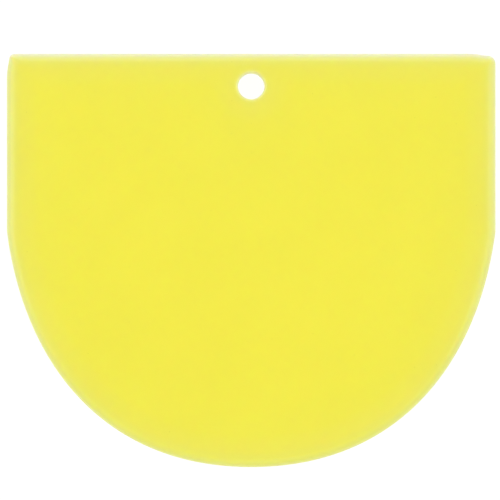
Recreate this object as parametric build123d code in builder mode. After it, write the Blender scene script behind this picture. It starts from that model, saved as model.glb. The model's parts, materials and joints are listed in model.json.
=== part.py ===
from build123d import *
import os
from math import cos, radians, sin

# A hand squeegee for pressing vinyl film flat: one flexible sheet of moulded polyurethane rubber.
# Seen from above it is a D that lies on its side, with one straight working edge, two parallel
# sides and a rounded bow that fits the palm. Every outer edge is rounded on both faces, and a
# small hole near the straight edge hangs it on a peg.
#
# Frame: +X along the straight edge, +Y from the bow towards the straight edge, +Z up out of the
# face. The origin is the middle of the lower face's bounding box, where the sheet rests on a
# table. All sizes are millimetres.

# Outline
width = 120.0  # across the two sides
height = 101.5  # from the straight edge to the tip of the bow
side_length = 43.7  # of each side, its corner included

# The two corners of the straight edge aren't quite alike. Before the left one the side leans in a
# little, and before the right one the straight edge drops a little.
left_lean = 0.8
left_lean_length = 4.5
left_corner_radius = 1.3
right_drop = 0.7
right_drop_length = 5.5
right_corner_radius = 2.0
bend_radius = 15.0  # of the soft bend where each of them starts

# The bow is one Bezier curve on each side, from the end of the straight side to the tip.
bow_lean = 7.5  # degrees that it turns inwards where it leaves the side
shoulder_pull = 33.4  # length of its handle at the side
tip_pull = 35.7  # length of its handle at the tip

# Section
thickness = 5.0
edge_radius = 2.2  # leaves a narrow land between the two roundings, where the mould parts

# Hanging hole
hole_radius = 3.25
hole_inset = 8.0  # from the straight edge to the hole's centre
hole_rim_radius = 0.6

half_width = width / 2
straight_y = height / 2
shoulder_y = straight_y - side_length
tip_y = -height / 2


def bow_points(side):
    """The Bezier points of one side's bow. side is 1 at +X and -1 at -X."""
    lean = radians(bow_lean)
    shoulder = (side * half_width, shoulder_y)
    shoulder_handle = (
        side * (half_width - shoulder_pull * sin(lean)),
        shoulder_y - shoulder_pull * cos(lean),
    )
    tip_handle = (side * tip_pull, tip_y)
    return shoulder, shoulder_handle, tip_handle, (0, tip_y)


# The points of the outline that aren't on the bow, and the radius of each one's rounding
left_shoulder = (-half_width, shoulder_y)
left_bend = (-half_width, straight_y - left_lean_length)
left_corner = (-half_width + left_lean, straight_y)
right_bend = (half_width - right_drop_length, straight_y)
right_corner = (half_width, straight_y - right_drop)
right_shoulder = (half_width, shoulder_y)
roundings = [
    (left_bend, bend_radius),
    (left_corner, left_corner_radius),
    (right_bend, bend_radius),
    (right_corner, right_corner_radius),
]

with BuildPart() as blade:
    with BuildSketch() as plan:
        with BuildLine():
            Polyline(left_shoulder, left_bend, left_corner, right_bend, right_corner, right_shoulder)
            for side in (-1, 1):
                Bezier(*bow_points(side))
        make_face()
        for point, radius in roundings:
            nearest = plan.vertices().sort_by_distance(point)[0]
            fillet(nearest, radius)
    extrude(amount=thickness)

    broad_faces = blade.faces().filter_by(Plane.XY)
    fillet(broad_faces.edges(), edge_radius)

    with Locations((0, straight_y - hole_inset, thickness)):
        Hole(hole_radius)
    hole_rims = blade.edges(Select.LAST).filter_by(GeomType.CIRCLE)
    fillet(hole_rims, hole_rim_radius)

blade.part.label = "squeegee_blade"

os.makedirs("parts", exist_ok=True)
export_step(blade.part, "parts/squeegee_blade.step")
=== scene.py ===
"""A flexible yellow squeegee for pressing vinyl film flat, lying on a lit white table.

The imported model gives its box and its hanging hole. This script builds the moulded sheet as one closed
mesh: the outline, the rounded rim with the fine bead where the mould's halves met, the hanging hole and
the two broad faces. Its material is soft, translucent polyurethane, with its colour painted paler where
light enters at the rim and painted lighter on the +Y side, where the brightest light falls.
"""

import json
from math import ceil, cos, exp, log, pi, radians, sin, sqrt, tan

import bmesh
import bpy
from mathutils import Matrix, Vector, noise
from mathutils.geometry import delaunay_2d_cdt, interpolate_bezier
from mathutils.kdtree import KDTree


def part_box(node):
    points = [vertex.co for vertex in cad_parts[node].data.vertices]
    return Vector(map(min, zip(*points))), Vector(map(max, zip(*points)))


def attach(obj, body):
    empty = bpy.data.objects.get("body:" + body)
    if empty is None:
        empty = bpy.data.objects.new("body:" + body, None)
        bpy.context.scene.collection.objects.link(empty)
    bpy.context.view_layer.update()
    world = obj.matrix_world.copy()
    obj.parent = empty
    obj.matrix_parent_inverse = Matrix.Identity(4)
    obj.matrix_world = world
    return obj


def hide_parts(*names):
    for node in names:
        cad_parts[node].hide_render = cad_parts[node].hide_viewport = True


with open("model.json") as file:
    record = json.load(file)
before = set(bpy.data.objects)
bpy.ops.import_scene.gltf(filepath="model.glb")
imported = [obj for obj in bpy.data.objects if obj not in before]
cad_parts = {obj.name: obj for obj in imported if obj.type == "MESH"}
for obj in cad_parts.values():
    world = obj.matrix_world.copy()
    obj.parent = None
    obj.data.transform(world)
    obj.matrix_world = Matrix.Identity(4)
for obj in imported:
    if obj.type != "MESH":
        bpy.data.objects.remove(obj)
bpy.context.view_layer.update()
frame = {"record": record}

NODE = "squeegee_blade"
SLOT = "yellow_polyurethane"
MM = 0.001

# ---------------------------------------------------------------- the shape, in metres

low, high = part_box(NODE)
HALF_WIDTH = (high.x - low.x) / 2
STRAIGHT_Y = high.y
TIP_Y = low.y
THICKNESS = high.z - low.z
MIDDLE_Z = (high.z + low.z) / 2

# The bow is one Bezier curve a side, from the end of the straight side to the tip.
SIDE_LENGTH = 43.7 * MM
SHOULDER_Y = STRAIGHT_Y - SIDE_LENGTH
BOW_LEAN = radians(7.5)
SHOULDER_PULL = 33.4 * MM
TIP_PULL = 35.7 * MM

# The two corners of the straight edge aren't quite alike. Before the left one the side leans in a
# little, and before the right one the straight edge drops a little.
LEFT_LEAN, LEFT_LEAN_LENGTH, LEFT_CORNER_RADIUS = 0.8 * MM, 4.5 * MM, 1.3 * MM
RIGHT_DROP, RIGHT_DROP_LENGTH, RIGHT_CORNER_RADIUS = 0.7 * MM, 5.5 * MM, 2.0 * MM
BEND_RADIUS = 15 * MM

# The rim's section: a quarter round on each face, and a bead of flash where the mould parted.
EDGE_RADIUS = 2.2 * MM
FLASH_HEIGHT = 0.05 * MM
FLASH_HALF_WIDTH = 0.14 * MM
FLASH_CREST = (0.3, 0.45)  # where its crest turns over, as shares of its height and its half width

# By a corner tighter than it, the rim's rounding narrows to this share of the corner's radius. Past the
# corner it widens again by this much for each millimetre.
RIM_AT_CORNER, RIM_WIDENING = 0.9, 0.6

# The hanging hole
hole = next(m for m in frame["record"]["mounts"] if m["name"] == "hanging_hole")
HOLE_CENTRE = Vector(hole["pos_m"][:2])
HOLE_RADIUS = hole["dims"]["r_mm"] * MM
HOLE_RIM_RADIUS = (THICKNESS - hole["dims"]["length_mm"] * MM) / 2

# A soft sheet is never quite flat: its faces dip by up to this much, and nowhere stand proud.
DIP_DEPTH = 0.05 * MM
DIP_SIZE = 28 * MM
DIP_FADE = 4 * EDGE_RADIUS  # towards the rim and the hole they fade, over this distance
DIP_SLICES = 5  # the two faces take them from slices of one noise, this many sizes apart

# How finely it is meshed
BEZIER_STEPS = 400
OUTLINE_STEP = 0.7 * MM
ARC_STEP = radians(6)
ROUND_STEPS = 14
HOLE_SIDES = 72
HOLE_ROUND_STEPS = 7
# Rows of points follow the rim and the hole over the broad faces, and a grid fills the middle.
ROWS_BY_RIM = [d * MM for d in (2.8, 3.5, 4.4, 5.5, 6.9, 8.6, 10.7, 13.2)]
ROWS_BY_HOLE = [d * MM for d in (1.1, 1.7, 2.5, 3.5)]
ROW_THINNING = 4 * MM  # each time a row is this much further in, it skips one point more
ROW_NEARNESS = 0.97  # a row's point is kept if it is no nearer to the rim than this share of its distance
ROW_GAP = 0.6 * MM  # kept free between the rim's rows and the hole's
GRID_STEP = 2.4 * MM
GRID_GAP = 0.6 * GRID_STEP  # kept free between the rim's rows and the grid
MERGE_DISTANCE = 0.0001 * MM  # points of a broad face that are nearer to each other count as one

# For the painted paleness, the small hole lets in as much light as a rim this much further away, blended
# over this distance.
HOLE_DEPTH = 1.6 * MM
DEPTH_BLEND = 1.0 * MM

# Painted light: where light enters and where the brightest light falls, from +Y, the colour is painted
# paler, most along the straight edge, and least at the bow's tip; round the hole it is painted paler too.
FACE_GLOW = 0.0055  # painted paler over the faces: this at the straight edge, fading evenly to none at the tip
SIDE_GLOW, SIDE_GLOW_WIDTH = 0.2, 3.0 * MM  # painted glow by the rim along the straight edge and the sides, fading round the bow as it turns from +Y
EDGE_GLOW, EDGE_GLOW_REACH = 0.5, 0.85 * MM  # painted light along the straight edge alone, where it faces +Y
# painted glow round the hole
HOLE_GLOW, HOLE_GLOW_REACH = 0.45, 0.45 * MM


def spread(points, step):
    """The same path with its points evenly spaced, about step apart. The last point is left off."""
    reached = [0.0]
    for a, b in zip(points, points[1:]):
        reached.append(reached[-1] + (b - a).length)
    count = max(1, round(reached[-1] / step))
    found, i = [], 0
    for k in range(count):
        target = reached[-1] * k / count
        while reached[i + 1] < target:
            i += 1
        share = (target - reached[i]) / (reached[i + 1] - reached[i])
        found.append(points[i].lerp(points[i + 1], share))
    return found


def circle(centre, radius, sides, turn=0.0):
    """Points round a circle. turn is the first point's share of a side."""
    angles = [2 * pi * (i + turn) / sides for i in range(sides)]
    return [centre + radius * Vector((cos(a), sin(a))) for a in angles]


def rounding(before, corner, after, radius):
    """The arc that rounds a corner where the path turns left, and the arc's centre."""
    into, out = (corner - before).normalized(), (after - corner).normalized()
    turn = into.angle(out)
    start = corner - into * radius * tan(turn / 2)
    centre = start + Vector((-into.y, into.x)) * radius
    steps = ceil(turn / ARC_STEP)
    turns = [Matrix.Rotation(turn * i / steps, 2) for i in range(steps + 1)]
    return [centre + t @ (start - centre) for t in turns], centre


def outline():
    """The closed outline, anticlockwise from the bow's tip, and (centre, radius) of its roundings."""
    tip, shoulder = Vector((0, TIP_Y)), Vector((HALF_WIDTH, SHOULDER_Y))
    shoulder_handle = shoulder - SHOULDER_PULL * Vector((sin(BOW_LEAN), cos(BOW_LEAN)))
    right_bow = interpolate_bezier(tip, Vector((TIP_PULL, TIP_Y)), shoulder_handle, shoulder, BEZIER_STEPS)
    left_bow = [Vector((-p.x, p.y)) for p in reversed(right_bow)]
    corners = [
        (Vector((HALF_WIDTH, STRAIGHT_Y - RIGHT_DROP)), RIGHT_CORNER_RADIUS),
        (Vector((HALF_WIDTH - RIGHT_DROP_LENGTH, STRAIGHT_Y)), BEND_RADIUS),
        (Vector((LEFT_LEAN - HALF_WIDTH, STRAIGHT_Y)), LEFT_CORNER_RADIUS),
        (Vector((-HALF_WIDTH, STRAIGHT_Y - LEFT_LEAN_LENGTH)), BEND_RADIUS),
    ]
    stops = [shoulder] + [corner for corner, _ in corners] + [left_bow[0]]
    loop, reached, roundings = spread(right_bow, OUTLINE_STEP), shoulder, []
    for before, (corner, radius), after in zip(stops, corners, stops[2:]):
        arc, centre = rounding(before, corner, after, radius)
        loop += spread([reached, arc[0]], OUTLINE_STEP) + arc[:-1]
        reached = arc[-1]
        roundings.append((centre, radius))
    return loop + spread([reached] + left_bow, OUTLINE_STEP), roundings


def normals_of(loop):
    """The outward normal at each point of a closed anticlockwise loop."""
    around = zip(loop[-1:] + loop[:-1], loop[1:] + loop[:1])
    return [Vector((b.y - a.y, a.x - b.x)).normalized() for a, b in around]


def inside(loop, point):
    """True if a point is inside a closed loop."""
    crossings = 0
    for a, b in zip(loop, loop[1:] + loop[:1]):
        if (a.y > point.y) != (b.y > point.y):
            crossings += point.x < a.x + (point.y - a.y) / (b.y - a.y) * (b.x - a.x)
    return crossings % 2 == 1


def rim_share(point, roundings):
    """The share of its full width that the rim's rounding has here: less by a corner tighter than it."""
    width = EDGE_RADIUS
    for centre, radius in roundings:
        past_arc = sqrt(max(0, (point - centre).length_squared - radius**2))
        width = min(width, RIM_AT_CORNER * radius + RIM_WIDENING * past_arc)
    return width / EDGE_RADIUS


def wall_section(radius, steps, inset, middle):
    """(distance in from the wall's furthest line, z) from the upper face to the lower one. The two edges
    are rounded down to inset, and middle holds what lies between a rounding and the middle line."""
    turns = [i / steps * pi / 2 for i in range(steps + 1)]
    upper = [(inset + radius * (1 - sin(a)), high.z - radius * (1 - cos(a))) for a in turns] + middle
    lower = [(distance, 2 * MIDDLE_Z - z) for distance, z in reversed(upper)]
    return upper + [(0, MIDDLE_Z)] + lower


def rim_section():
    """The rim: two roundings, and the bead of flash between them that stands out as far as the box."""
    share_of_height, share_of_width = FLASH_CREST
    foot = (FLASH_HEIGHT, MIDDLE_Z + FLASH_HALF_WIDTH)
    crest = (FLASH_HEIGHT * share_of_height, MIDDLE_Z + FLASH_HALF_WIDTH * share_of_width)
    return wall_section(EDGE_RADIUS, ROUND_STEPS, FLASH_HEIGHT, [foot, crest])


def face_points(loop, outward):
    """(point, distance from the rim) over a broad face: rows by the rim and the hole, and a grid."""
    tree = KDTree(len(loop))
    for i, p in enumerate(loop):
        tree.insert((p.x, p.y, 0), i)
    tree.balance()

    def rim_distance(p):
        return tree.find((p.x, p.y, 0))[2]

    def hole_distance(p):
        return (p - HOLE_CENTRE).length - HOLE_RADIUS

    found = []
    for row, depth in enumerate(ROWS_BY_RIM):
        stride = 1 + int(depth / ROW_THINNING)
        start = (row % 2) * stride // 2
        for p, n in zip(loop[start::stride], outward[start::stride]):
            q = p - n * depth
            if rim_distance(q) > depth * ROW_NEARNESS and hole_distance(q) > ROWS_BY_HOLE[-1] + ROW_GAP:
                found.append(q)
    for row, out in enumerate(ROWS_BY_HOLE):
        sides = HOLE_SIDES if row == 0 else HOLE_SIDES // 2
        ring = circle(HOLE_CENTRE, HOLE_RADIUS + out, sides, 0.5 * (row % 2))
        found += [q for q in ring if rim_distance(q) > ROWS_BY_RIM[0]]
    columns = int(HALF_WIDTH / GRID_STEP)
    for row in range(int((STRAIGHT_Y - TIP_Y) / GRID_STEP)):
        for column in range(-columns, columns + 1):
            q = Vector(((column + 0.5 * (row % 2)) * GRID_STEP, TIP_Y + row * GRID_STEP))
            if rim_distance(q) > ROWS_BY_RIM[-1] + GRID_GAP and inside(loop, q):
                found.append(q)
    return [(p, rim_distance(p)) for p in found]


def bridge(bm, first, second):
    """Quads between two closed rings with as many points each."""
    for a, b, c, d in zip(first, second, second[1:] + second[:1], first[1:] + first[:1]):
        bm.faces.new((a, b, c, d))


def fill_face(bm, rim, wall, inner, upward):
    """Triangles between the rim's ring and the hole's, through the inner vertices."""
    verts = rim + wall + inner
    flat = [v.co.xy for v in verts]
    edges = [(i, (i + 1) % len(rim)) for i in range(len(rim))]
    edges += [(len(rim) + i, len(rim) + (i + 1) % len(wall)) for i in range(len(wall))]
    inside_edges = 1  # the kind of output that leaves out what is outside the closed edges
    points, _, triangles, sources = delaunay_2d_cdt(flat, edges, [], inside_edges, MERGE_DISTANCE)[:4]
    # The hole's ring is a polygon, and this is how far the middle of each side is from its centre.
    hole_edge = (HOLE_RADIUS + HOLE_RIM_RADIUS) * cos(pi / HOLE_SIDES)
    for triangle in triangles:
        middle = sum((points[i] for i in triangle), Vector((0, 0))) / 3
        if (middle - HOLE_CENTRE).length > hole_edge:
            corners = [verts[sources[i][0]] for i in triangle]
            bm.faces.new(corners if upward else corners[::-1])


def painted_glow_from(edge_distance, amount, reach):
    """The painted glow of an edge this far away: amount at the edge, fading out over about twice reach."""
    return amount * exp(-((edge_distance / reach) ** 2))


def painted_glow_at(point, rim_distance, hole_distance, facing):
    """How much paler the colour is painted, for light that enters at the rim and falls from +Y. facing is
    the y of the outward normal of the nearest rim.
    """
    face = FACE_GLOW * (point.y - TIP_Y) / (STRAIGHT_Y - TIP_Y)
    side = SIDE_GLOW * max(0, 1 - rim_distance / SIDE_GLOW_WIDTH) * min(1, 1 + facing)
    edge = painted_glow_from(rim_distance, EDGE_GLOW * max(0, facing), EDGE_GLOW_REACH)
    return face + side + edge + painted_glow_from(hole_distance, HOLE_GLOW, HOLE_GLOW_REACH)


def light_depth(rim_distance, hole_distance):
    """How deep inside the sheet its colour looks, which sets the painted paleness by the rim. The small
    hole lets in less light than the rim.
    """
    from_rim = exp(-rim_distance / DEPTH_BLEND)
    from_hole = exp(-(hole_distance + HOLE_DEPTH) / DEPTH_BLEND)
    return -DEPTH_BLEND * log(from_rim + from_hole)


def dip_faces(bm, depth_layer):
    """Sinks both broad faces a little here and there, towards each other."""
    for v in bm.verts:
        upper = v.co.z > MIDDLE_Z
        sample = Vector((v.co.x / DIP_SIZE, v.co.y / DIP_SIZE, DIP_SLICES * upper))
        dip = DIP_DEPTH * (0.5 + 0.5 * noise.noise(sample))
        v.co.z += dip * min(1, v[depth_layer] / DIP_FADE) * (-1 if upper else 1)


def sheet_mesh():
    """The whole sheet as one closed mesh, with what its colour depends on kept at each vertex, the painted
    glow among it.
    """
    bm = bmesh.new()
    depth_layer = bm.verts.layers.float.new("light_depth")
    # how much paler each vertex's colour is painted where light enters and falls
    painted_glow_layer = bm.verts.layers.float.new("glow")

    def vertex(point, z, rim_distance, facing=0.0):
        made = bm.verts.new((point.x, point.y, z))
        hole_distance = (point - HOLE_CENTRE).length - HOLE_RADIUS
        made[depth_layer] = light_depth(rim_distance, hole_distance)
        made[painted_glow_layer] = painted_glow_at(point, rim_distance, hole_distance, facing)
        return made

    loop, roundings = outline()
    outward = normals_of(loop)
    shares = [rim_share(p, roundings) for p in loop]
    rim = [
        [vertex(p - n * inset * s, z, inset * s, n.y) for p, n, s in zip(loop, outward, shares)]
        for inset, z in rim_section()
    ]
    wall = [
        [vertex(p, z, STRAIGHT_Y - p.y) for p in circle(HOLE_CENTRE, HOLE_RADIUS + out, HOLE_SIDES)]
        for out, z in wall_section(HOLE_RIM_RADIUS, HOLE_ROUND_STEPS, 0, [])
    ]
    for first, second in zip(rim, rim[1:]):
        bridge(bm, first, second)
    for first, second in zip(wall, wall[1:]):
        bridge(bm, second, first)
    inner = face_points(loop, outward)
    for z, ring in ((high.z, 0), (low.z, -1)):
        fill_face(bm, rim[ring], wall[ring], [vertex(p, z, d) for p, d in inner], z == high.z)
    dip_faces(bm, depth_layer)
    mesh = bpy.data.meshes.new("sheet")
    bm.to_mesh(mesh)
    bm.free()
    mesh.shade_smooth()
    return mesh


# ---------------------------------------------------------------- the material

FULL_DEPTH = 30 * MM  # how deep inside the sheet the painted paleness still changes
# Millimetres inside the sheet, and the colour painted there: light enters at the rim, so it is painted
# paler.
PAINTED_DEPTH_COLOURS = [
    (0.0, (0.733, 0.730, 0.34)),
    (0.5, (0.772, 0.788, 0.191)),
    (1.0, (0.775, 0.780, 0.145)),
    (2.0, (0.810, 0.789, 0.107)),
    (4.0, (0.845, 0.796, 0.0862)),
    (8.0, (0.857, 0.805, 0.0616)),
    (14.0, (0.866, 0.808, 0.0536)),
    (30.0, (0.875, 0.809, 0.0492)),
]
PAINTED_GLOW_COLOUR = (0.85, 0.855, 0.75)  # the painted glow: what the colour is painted towards where most light enters
# At mid-height the wall is painted as if this much deeper and keeps this share of the painted glow, and
# WALL_REACH above or below that it is like the rest.
WALL_DEPTH, WALL_GLOW, WALL_REACH = 1.3 * MM, 0.4, 1.8 * MM

NOISE_LOW, NOISE_HIGH = 0.3, 0.7  # a noise stays between these nearly everywhere
CLOUD_SCALE, CLOUD_SHADES = 85.0, (0.99, 1.006)  # faint clouds in the colour
# A few cells of a pattern hold a fleck. From the cell's middle it is dark up to the first distance and gone
# at the second, in sizes of a cell.
FLECK_SCALE, FLECK_EDGE = 200.0, (0.012, 0.03)
FLECK_CHANCE, FLECK_SHADE = 0.07, 0.86
# Scuffs are a noise stretched along one direction, shown only where it is highest.
SCUFF_SCALE, SCUFF_STRETCH, SCUFF_TURN = 140.0, 16, radians(62)
SCUFF_START, SCUFF_FULL = 0.64, 0.74
ROUGHNESS, ROUGHNESS_SCALE = (0.38, 0.46), 320.0
RUBBED_RIM, RUBBED_WIDTH = 0.07, 1.6 * MM  # the rim is this much less rough, this far in
SCUFF_ROUGHNESS = 0.14  # a scuff is this much rougher
GRAIN_SCALE, NICK_SCALE = 2600.0, 900.0
NICK_START, NICK_FULL = 0.6, 0.75
# Each kind of bump's strength and height
GRAIN_BUMP = (0.1, 0.02 * MM)
SCUFF_BUMP = (0.3, 0.01 * MM)
NICK_BUMP = (0.4, 0.06 * MM)
# Light sinks in and comes out this far away, in red, green and blue.
SINK_SCALE, SINK_SHARES = 1.5 * MM, (1.0, 0.8, 0.25)
REFRACTION = 1.5
TABLE_COLOUR, TABLE_ROUGHNESS, TABLE_LIGHT = 0.14, 0.9, 0.9


class Nodes:
    """Adds nodes to a material and joins them, so that each line below reads as one step."""

    def __init__(self, name):
        self.material = bpy.data.materials.new(name)
        self.material.use_nodes = True
        self.tree = self.material.node_tree
        self.shader = self.tree.nodes["Principled BSDF"]

    def add(self, kind, inputs=(), **settings):
        """A new node, with its inputs and settings. An input is a value or another node's output."""
        node = self.tree.nodes.new("ShaderNode" + kind)
        for key, value in settings.items():
            setattr(node, key, value)
        for key, value in dict(inputs).items():
            self.set(node.inputs[key], value)
        return node

    def set(self, socket, value):
        """Joins another node's output to a socket, or gives the socket a value."""
        if isinstance(value, bpy.types.NodeSocket):
            self.tree.links.new(value, socket)
        else:
            socket.default_value = value

    def math(self, operation, first, second=0.0):
        return self.add("Math", {0: first, 1: second}, operation=operation).outputs[0]

    def remap(self, value, start, end, to_start, to_end, **settings):
        """value's range from start to end, as a range from to_start to to_end."""
        ends = {"From Min": start, "From Max": end, "To Min": to_start, "To Max": to_end}
        return self.add("MapRange", {"Value": value, **ends}, **settings).outputs["Result"]

    def noise(self, where, scale, detail=2.0):
        settings = {"Vector": where, "Scale": scale, "Detail": detail}
        return self.add("TexNoise", settings).outputs["Fac"]


def set_stops(ramp, stops):
    """Gives a colour ramp these (position, colour) stops."""
    while len(ramp.elements) < len(stops):
        ramp.elements.new(0.5)
    for element, (position, colour) in zip(ramp.elements, stops):
        element.position = position
        element.color = (*colour, 1)


def sheet_colour(n, here, depth):
    """The yellow by its depth inside the sheet, painted paler towards the rim where light enters, and
    turned paler still by the painted glow. From the side one looks along the sheet, so the middle of its
    wall is painted with the colour from deeper inside and glows less."""
    height = n.math("SUBTRACT", n.add("SeparateXYZ", {0: here}).outputs["Z"], MIDDLE_Z)
    wall = n.remap(n.math("ABSOLUTE", height), 0, WALL_REACH, 1, 0, interpolation_type="SMOOTHSTEP")
    deeper = n.math("ADD", depth, n.math("MULTIPLY", wall, WALL_DEPTH))
    by_depth = n.add("ValToRGB", {"Fac": n.remap(deeper, 0, FULL_DEPTH, 0, 1)})
    set_stops(by_depth.color_ramp, [(d * MM / FULL_DEPTH, colour) for d, colour in PAINTED_DEPTH_COLOURS])
    # the painted glow, paler by the rim and on the +Y side
    glow = n.add("Attribute", attribute_name="glow").outputs["Fac"]
    shown = n.math("MULTIPLY", glow, n.remap(wall, 0, 1, 1, WALL_GLOW))
    colours = {"Fac": shown, "Color1": by_depth.outputs["Color"], "Color2": (*PAINTED_GLOW_COLOUR, 1)}
    return n.add("MixRGB", colours).outputs["Color"]


def flecks(n, here):
    """1 in a few specks of dust cast into the sheet, and 0 elsewhere."""
    cells = n.add("TexVoronoi", {"Vector": here, "Scale": FLECK_SCALE}, voronoi_dimensions="2D")
    spot = n.remap(cells.outputs["Distance"], *FLECK_EDGE, 1, 0)
    chance = n.add("SeparateColor", {0: cells.outputs["Color"]}).outputs["Red"]
    return n.math("MULTIPLY", spot, n.math("LESS_THAN", chance, FLECK_CHANCE))


def scuffs(n, here):
    """0 to 1: sparse, short hairlines that rubbing leaves across the faces."""
    stretch = {"Vector": here, "Rotation": (0, 0, SCUFF_TURN), "Scale": (1, SCUFF_STRETCH, 1)}
    streaks = n.noise(n.add("Mapping", stretch).outputs["Vector"], SCUFF_SCALE, 4.0)
    return n.remap(streaks, SCUFF_START, SCUFF_FULL, 0, 1)


def yellow_polyurethane():
    """Soft cast polyurethane: a clear lemon yellow that light sinks into, painted paler by the rim and on
    the +Y side where light enters and falls, satin and lightly handled.
    """
    n = Nodes(SLOT)
    here = n.add("TexCoord").outputs["Object"]
    depth = n.add("Attribute", attribute_name="light_depth").outputs["Fac"]
    by_rim = n.remap(depth, 0, RUBBED_WIDTH, 1, 0)
    lines = scuffs(n, here)

    clouds = n.remap(n.noise(here, CLOUD_SCALE), NOISE_LOW, NOISE_HIGH, *CLOUD_SHADES)
    specks = n.remap(flecks(n, here), 0, 1, 1, FLECK_SHADE)
    shade = {0: sheet_colour(n, here, depth), "Scale": n.math("MULTIPLY", clouds, specks)}
    n.set(n.shader.inputs["Base Color"], n.add("VectorMath", shade, operation="SCALE").outputs[0])

    # The rim is rubbed smoother than the faces, and the scuffs are rougher.
    satin = n.remap(n.noise(here, ROUGHNESS_SCALE, 3.0), NOISE_LOW, NOISE_HIGH, *ROUGHNESS)
    rubbed = n.math("SUBTRACT", satin, n.math("MULTIPLY", by_rim, RUBBED_RIM))
    scuffed = n.math("ADD", rubbed, n.math("MULTIPLY", lines, SCUFF_ROUGHNESS))
    n.set(n.shader.inputs["Roughness"], scuffed)

    # Bumps: a fine moulded grain, shallow scuffs, and small nicks along the rim.
    grain = n.noise(here, GRAIN_SCALE, 3.0)
    nicks = n.math("MULTIPLY", n.remap(n.noise(here, NICK_SCALE), NICK_START, NICK_FULL, 0, -1), by_rim)
    normal = None
    for height, (strength, distance) in ((grain, GRAIN_BUMP), (lines, SCUFF_BUMP), (nicks, NICK_BUMP)):
        settings = {"Height": height, "Strength": strength, "Distance": distance}
        if normal:
            settings["Normal"] = normal
        normal = n.add("Bump", settings).outputs["Normal"]
    n.set(n.shader.inputs["Normal"], normal)

    n.set(n.shader.inputs["Subsurface Weight"], 1.0)
    n.set(n.shader.inputs["Subsurface Radius"], SINK_SHARES)
    n.set(n.shader.inputs["Subsurface Scale"], SINK_SCALE)
    n.set(n.shader.inputs["IOR"], REFRACTION)
    return n.material


def lit_table():
    """White translucent acrylic, lit from inside: it stays nearly white where the sheet shades it."""
    n = Nodes("lit_table")
    n.set(n.shader.inputs["Base Color"], (TABLE_COLOUR, TABLE_COLOUR, TABLE_COLOUR, 1))
    n.set(n.shader.inputs["Roughness"], TABLE_ROUGHNESS)
    n.set(n.shader.inputs["Emission Color"], (1, 1, 1, 1))
    n.set(n.shader.inputs["Emission Strength"], TABLE_LIGHT)
    return n.material


# ---------------------------------------------------------------- the studio

VIEW_WIDTH = 122.8 * MM  # what the picture takes in, at the height of the rim's widest line
LENS = 200.0  # its focal length in millimetres
NEAREST, FURTHEST = 0.05, 20  # how near and how far the camera sees
AIM = Vector((-0.29, 2.57)) * MM  # the middle of the picture, from the middle of the sheet
TABLE_SIZE, TABLE_EDGE = 6.0, 0.45  # a wide table, with an edge that stands up round it
TABLE_GAP = 0.05 * MM  # between the table and the sheet, so that their faces never coincide
ROOM_LIGHT = 0.613
# Four softboxes stand round the table, this far off, this large and at this angle above it. They are listed
# anticlockwise from the one at -Y, and the one at +Y is brightest.
SOFTBOX_DISTANCE, SOFTBOX_SIZE, SOFTBOX_ANGLE = 2.5, 1.6, radians(45)
SOFTBOX_POWERS = {"front": 8.5, "right": 11.5, "back": 12.5, "left": 11.5}


def place(name, data, location, rotation=(0, 0, 0)):
    """A new object in the scene."""
    made = bpy.data.objects.new(name, data)
    made.location = location
    made.rotation_euler = rotation
    bpy.context.scene.collection.objects.link(made)
    return made


def make_camera():
    """Straight above the sheet, with its straight edge towards the top of the picture."""
    data = bpy.data.cameras.new("camera")
    data.lens = LENS
    distance = VIEW_WIDTH * data.lens / data.sensor_width
    data.clip_start, data.clip_end = NEAREST, FURTHEST
    bpy.context.scene.camera = place("camera", data, (AIM.x, AIM.y, MIDDLE_Z + distance))


def make_softboxes():
    """One softbox on each side of the table, tilted down at the sheet."""
    level, height = cos(SOFTBOX_ANGLE), sin(SOFTBOX_ANGLE)
    for i, (name, power) in enumerate(SOFTBOX_POWERS.items()):
        data = bpy.data.lights.new("softbox_" + name, "AREA")
        data.size = SOFTBOX_SIZE
        data.energy = power
        turn = (i - 1) * pi / 2
        location = SOFTBOX_DISTANCE * Vector((cos(turn) * level, sin(turn) * level, height))
        rotation = location.to_track_quat("Z", "Y").to_euler()
        place(data.name, data, location, rotation).visible_camera = False


def make_table():
    """The lit table, and the edge round it that hides the horizon."""
    s = TABLE_SIZE / 2
    corners = [(-s, -s), (s, -s), (s, s), (-s, s)]
    verts = [(x, y, z) for z in (0, TABLE_EDGE) for x, y in corners]
    sides = [(i, i + 4, (i + 1) % 4 + 4, (i + 1) % 4) for i in range(4)]
    mesh = bpy.data.meshes.new("table")
    mesh.from_pydata(verts, [], [(0, 1, 2, 3)] + sides)
    mesh.materials.append(lit_table())
    place("table", mesh, (0, 0, low.z - TABLE_GAP))


def make_world():
    """Even white light from all round."""
    world = bpy.data.worlds.new("studio")
    world.use_nodes = True
    background = world.node_tree.nodes["Background"]
    background.inputs["Color"].default_value = (1, 1, 1, 1)
    background.inputs["Strength"].default_value = ROOM_LIGHT
    bpy.context.scene.world = world


make_camera()
make_world()
make_table()
make_softboxes()
bpy.context.scene.view_settings.view_transform = "Standard"

blade = place("blade", sheet_mesh(), (0, 0, 0))
blade.data.materials.append(yellow_polyurethane())
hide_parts(NODE)
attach(blade, "root")
